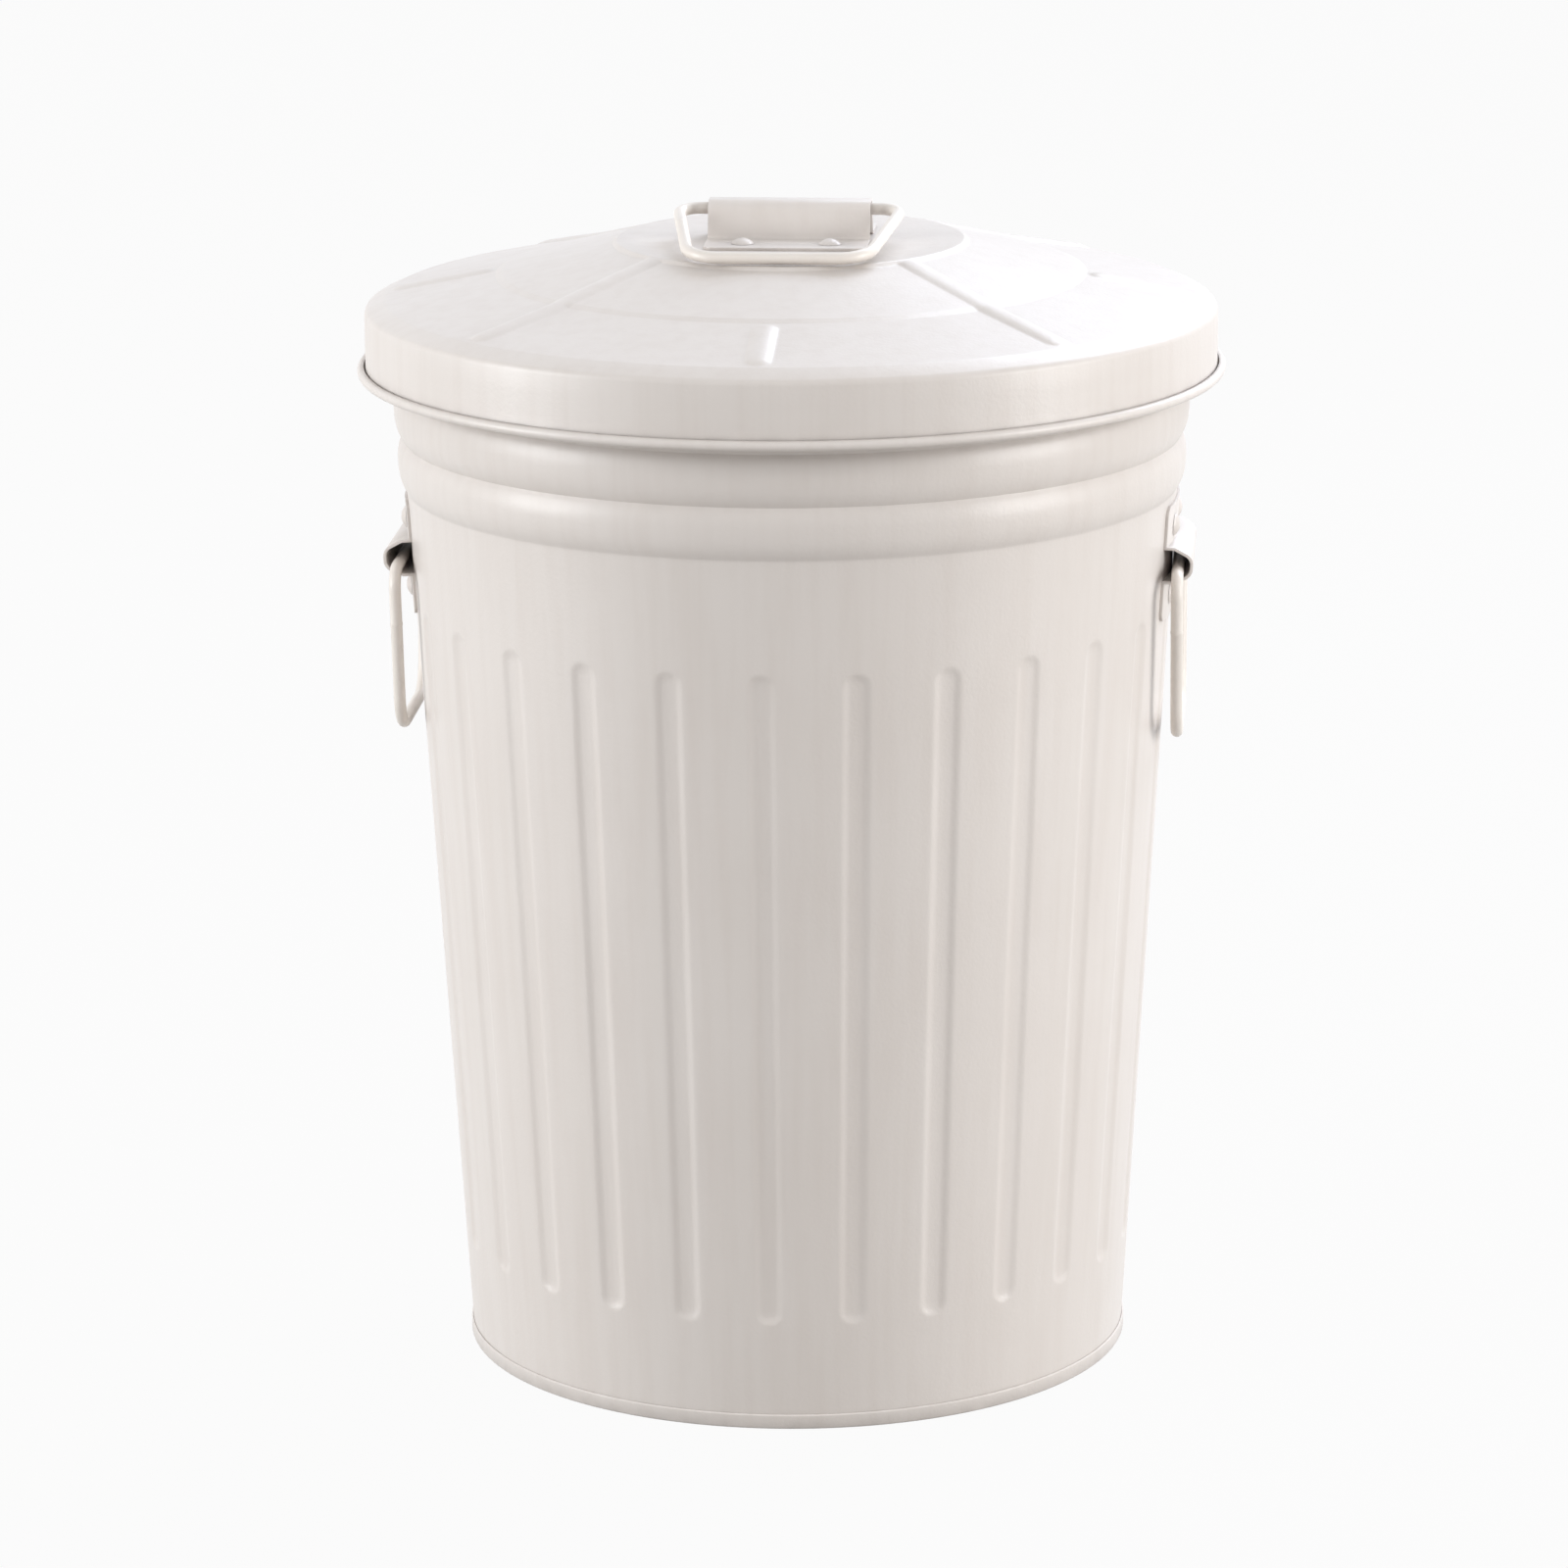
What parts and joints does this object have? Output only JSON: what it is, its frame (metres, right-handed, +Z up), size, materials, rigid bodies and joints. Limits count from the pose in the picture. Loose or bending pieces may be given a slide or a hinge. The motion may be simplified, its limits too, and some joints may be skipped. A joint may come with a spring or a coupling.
{
  "type": "trash can with lid",
  "caption": "Tapered round painted steel trash can with a fluted wall, rolled beads, a ribbed lift-off lid, and drop-ring handles on its lid and sides.",
  "frame": {"origin": "centre of the foot, on the floor", "axes": "+Z up; -Y is the front, towards which the lid's ring lies folded; the side rings are on +X (right) and -X (left)"},
  "size_m": [0.3604, 0.3604, 0.4873],
  "materials": {
    "cream_paint": "satin cream baked paint on sheet steel",
    "ring_paint": "satin warm cream paint on bent steel wire",
    "wire_steel": "bare drawn wire, hidden in the rolled rim"
  },
  "bodies": {
    "can": {"body_shell": "cream_paint", "rim_wire": "wire_steel", "bottom_pan": "cream_paint", "right_handle_bracket": "cream_paint", "right_handle_rivets": "cream_paint", "left_handle_bracket": "cream_paint", "left_handle_rivets": "cream_paint"},
    "lid": {"lid_shell": "cream_paint", "lid_handle_bracket": "cream_paint", "lid_handle_rivets": "cream_paint"},
    "lid_ring": {"lid_handle_ring": "ring_paint"},
    "right_ring": {"right_handle_ring": "ring_paint"},
    "left_ring": {"left_handle_ring": "ring_paint"}
  },
  "joints": [
    {"name": "lid_lift", "type": "slide", "parent": "can", "child": "lid", "axis": [0, 0, 1], "range_m": [0, 0.25]},
    {"name": "lid_ring_fold", "type": "hinge", "parent": "lid", "child": "lid_ring", "pos_m": [0, 0, 0.48319], "axis": [-1, 0, 0], "range_deg": [0, 164]},
    {"name": "right_ring_swing", "type": "hinge", "parent": "can", "child": "right_ring", "pos_m": [0.16171, 0, 0.3384], "axis": [0, -1, 0], "range_deg": [-3, 170]},
    {"name": "left_ring_swing", "type": "hinge", "parent": "can", "child": "left_ring", "pos_m": [-0.16171, 0, 0.3384], "axis": [0, 1, 0], "range_deg": [-3, 170]}
  ]
}
